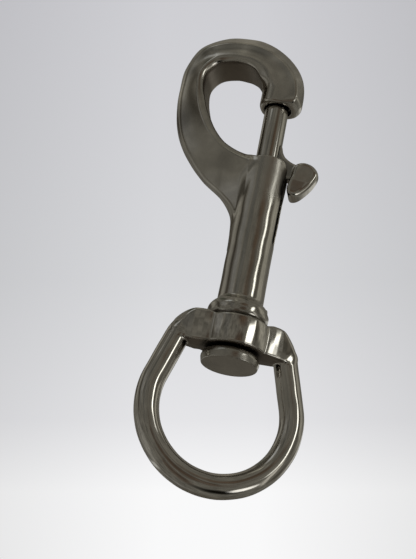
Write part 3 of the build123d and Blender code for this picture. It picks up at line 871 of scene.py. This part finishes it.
room = g.mix(g.span(hy, -1.0, 1.0, 0.0, 1.0), (0.165, 0.160, 0.142), (0.150, 0.142, 0.120))
for cx, cy, sx, sy, turn, power, colour in (
    (0.16, -0.36, 0.21, 0.14, 10, 2.2, (0.04, 0.035, 0.03)),    # dark gap under the lens
    (0.15, 0.16, 0.12, 0.13, 0, 2.0, (0.50, 0.38, 0.32)),       # warm dark band
    (0.22, 0.42, 0.13, 0.09, -10, 1.8, (0.58, 0.44, 0.36)),
    (-0.08, -0.14, 0.11, 0.20, 0, 1.8, (0.60, 0.48, 0.42)),
    (-0.61, 0.36, 0.055, 0.28, 0, 2.0, (0.40, 0.38, 0.36)),
    (-0.20, 0.42, 0.09, 0.16, 0, 1.8, (0.74, 0.76, 0.80)),
    (0.62, 0.20, 0.055, 0.20, 10, 2.0, (0.62, 0.60, 0.56)),
    (-0.90, 0.30, 0.05, 0.20, 0, 2.0, (0.45, 0.42, 0.38)),
    (0.06, 0.90, 0.34, 0.10, 0, 1.6, (1.55, 1.52, 1.50)),
    (-0.38, 0.78, 0.10, 0.10, 0, 1.8, (0.40, 0.45, 0.40)),
    (0.62, -0.36, 0.06, 0.14, -20, 1.6, (0.5, 0.48, 0.44)),
    (-0.10, -0.85, 0.55, 0.16, 0, 2.0, (0.72, 0.68, 0.64)),
):
    f = card(cx, cy, sx, sy, turn, power)
    room = g.mix(f, room, g.mix(1.0, room, colour, "MULTIPLY"))
for cx, cy, sx, sy, turn, power, colour in (
    (0.462, 0.19, 0.042, 0.145, -25, 2.2, (2.4, 2.43, 2.3)),    # key
    (0.330, -0.27, 0.075, 0.095, -35, 2.0, (2.0, 2.0, 1.95)),   # low card, catches lower edges
    (0.475, -0.15, 0.040, 0.26, 0, 2.0, (0.42, 0.41, 0.38)),    # strip under the key
    (0.76, 0.10, 0.075, 0.34, 8, 2.0, (0.21, 0.205, 0.175)),    # broad right side
    (-0.25, 0.62, 0.12, 0.050, 20, 2.2, (0.34, 0.36, 0.38)),    # cool window
    (-0.44, 0.42, 0.10, 0.14, 0, 1.8, (0.045, 0.05, 0.06)),
    (-0.01, 0.70, 0.04, 0.09, 0, 2.0, (0.16, 0.16, 0.13)),
    (-0.62, -0.14, 0.18, 0.26, 0, 1.8, (0.12, 0.12, 0.115)),    # broad left side
    (-0.77, 0.36, 0.055, 0.22, -10, 2.0, (0.17, 0.165, 0.15)),
    (-0.62, -0.52, 0.12, 0.07, 40, 2.0, (0.32, 0.33, 0.33)),
    (-0.36, -0.60, 0.16, 0.06, -20, 1.8, (0.08, 0.08, 0.08)),
    (0.82, -0.42, 0.06, 0.24, -38, 1.8, (0.45, 0.45, 0.43)),
):
    lit = g.mix(1.0, grey(card(cx, cy, sx, sy, turn, power)), colour, "MULTIPLY")
    room = g.mix(1.0, room, lit, "ADD")
clutter = g.noise(ray, 4.6, 3.0, 0.6)
room = g.mix(1.0, room, grey(g.span(clutter, 0.32, 0.68, 0.70, 1.32)), "MULTIPLY")
room = g.mix(1.0, room, grey(g.span(g.noise(ray, 15.0, 2.0, 0.5), 0.34, 0.66, 0.72, 1.28)), "MULTIPLY")
bg_room = g.node("ShaderNodeBackground")
g.put(bg_room.inputs[0], room)

# what the lens sees behind the object: pale, brighter towards the bottom
sep = g.node("ShaderNodeSeparateXYZ")
g.put(sep.inputs[0], coord.outputs["Window"])
rise = g.node("ShaderNodeValToRGB")
g.put(rise.inputs[0], sep.outputs[1])
rise.color_ramp.elements[0].position, rise.color_ramp.elements[0].color = 0.12, (0.92, 0.92, 0.925, 1)
rise.color_ramp.elements[1].position, rise.color_ramp.elements[1].color = 1.0, (0.60, 0.60, 0.63, 1)
e = rise.color_ramp.elements.new(0.25)
e.color = (0.76, 0.76, 0.78, 1)
e = rise.color_ramp.elements.new(0.5)
e.color = (0.66, 0.665, 0.685, 1)
side = g.math("ABSOLUTE", g.math("SUBTRACT", sep.outputs[0], 0.5))
tone = g.mix(1.0, rise.outputs[0], grey(g.span(side, 0.12, 0.5, 1.03, 0.88)), "MULTIPLY")
bg_cam = g.node("ShaderNodeBackground")
g.put(bg_cam.inputs[0], tone)
lp = g.node("ShaderNodeLightPath")
mx = g.node("ShaderNodeMixShader")
g.put(mx.inputs[0], lp.outputs["Is Camera Ray"])
g.put(mx.inputs[1], bg_room.outputs[0])
g.put(mx.inputs[2], bg_cam.outputs[0])
g.put(out.inputs[0], mx.outputs[0])


def area(name, loc, target, size, power, color=(1, 1, 1), size_y=None):
    """Soft box that lights the floor and shades it; the metal mirrors the cards instead."""
    d = bpy.data.lights.new(name, "AREA")
    d.energy = power
    d.color = color
    d.size = size
    if size_y:
        d.shape = "RECTANGLE"
        d.size_y = size_y
    ob = bpy.data.objects.new(name, d)
    bpy.context.scene.collection.objects.link(ob)
    ob.location = loc
    ob.rotation_euler = (Vector(target) - Vector(loc)).to_track_quat("-Z", "Y").to_euler()
    ob.visible_glossy = False
    return ob


mid = Vector((0, 0, 0.036))
area("key", (-0.5, -0.6, 1.1), mid, 0.7, 26.0, (1.0, 0.98, 0.96))
area("fill", (0.8, 0.5, 0.9), mid, 0.9, 18.0, (0.97, 0.98, 1.0))

cam_data = bpy.data.cameras.new("camera")
cam = bpy.data.objects.new("camera", cam_data)
bpy.context.scene.collection.objects.link(cam)
cam_data.sensor_width = 36.0
cam_data.lens = 73.876
cam.location = (0.04618983, -0.21651942, -0.06780851)
cam.rotation_mode = "QUATERNION"
cam.rotation_quaternion = VIEW.to_quaternion()
cam_data.clip_start, cam_data.clip_end = 0.005, 20
bpy.context.scene.camera = cam
bpy.context.scene.view_settings.view_transform = "Standard"
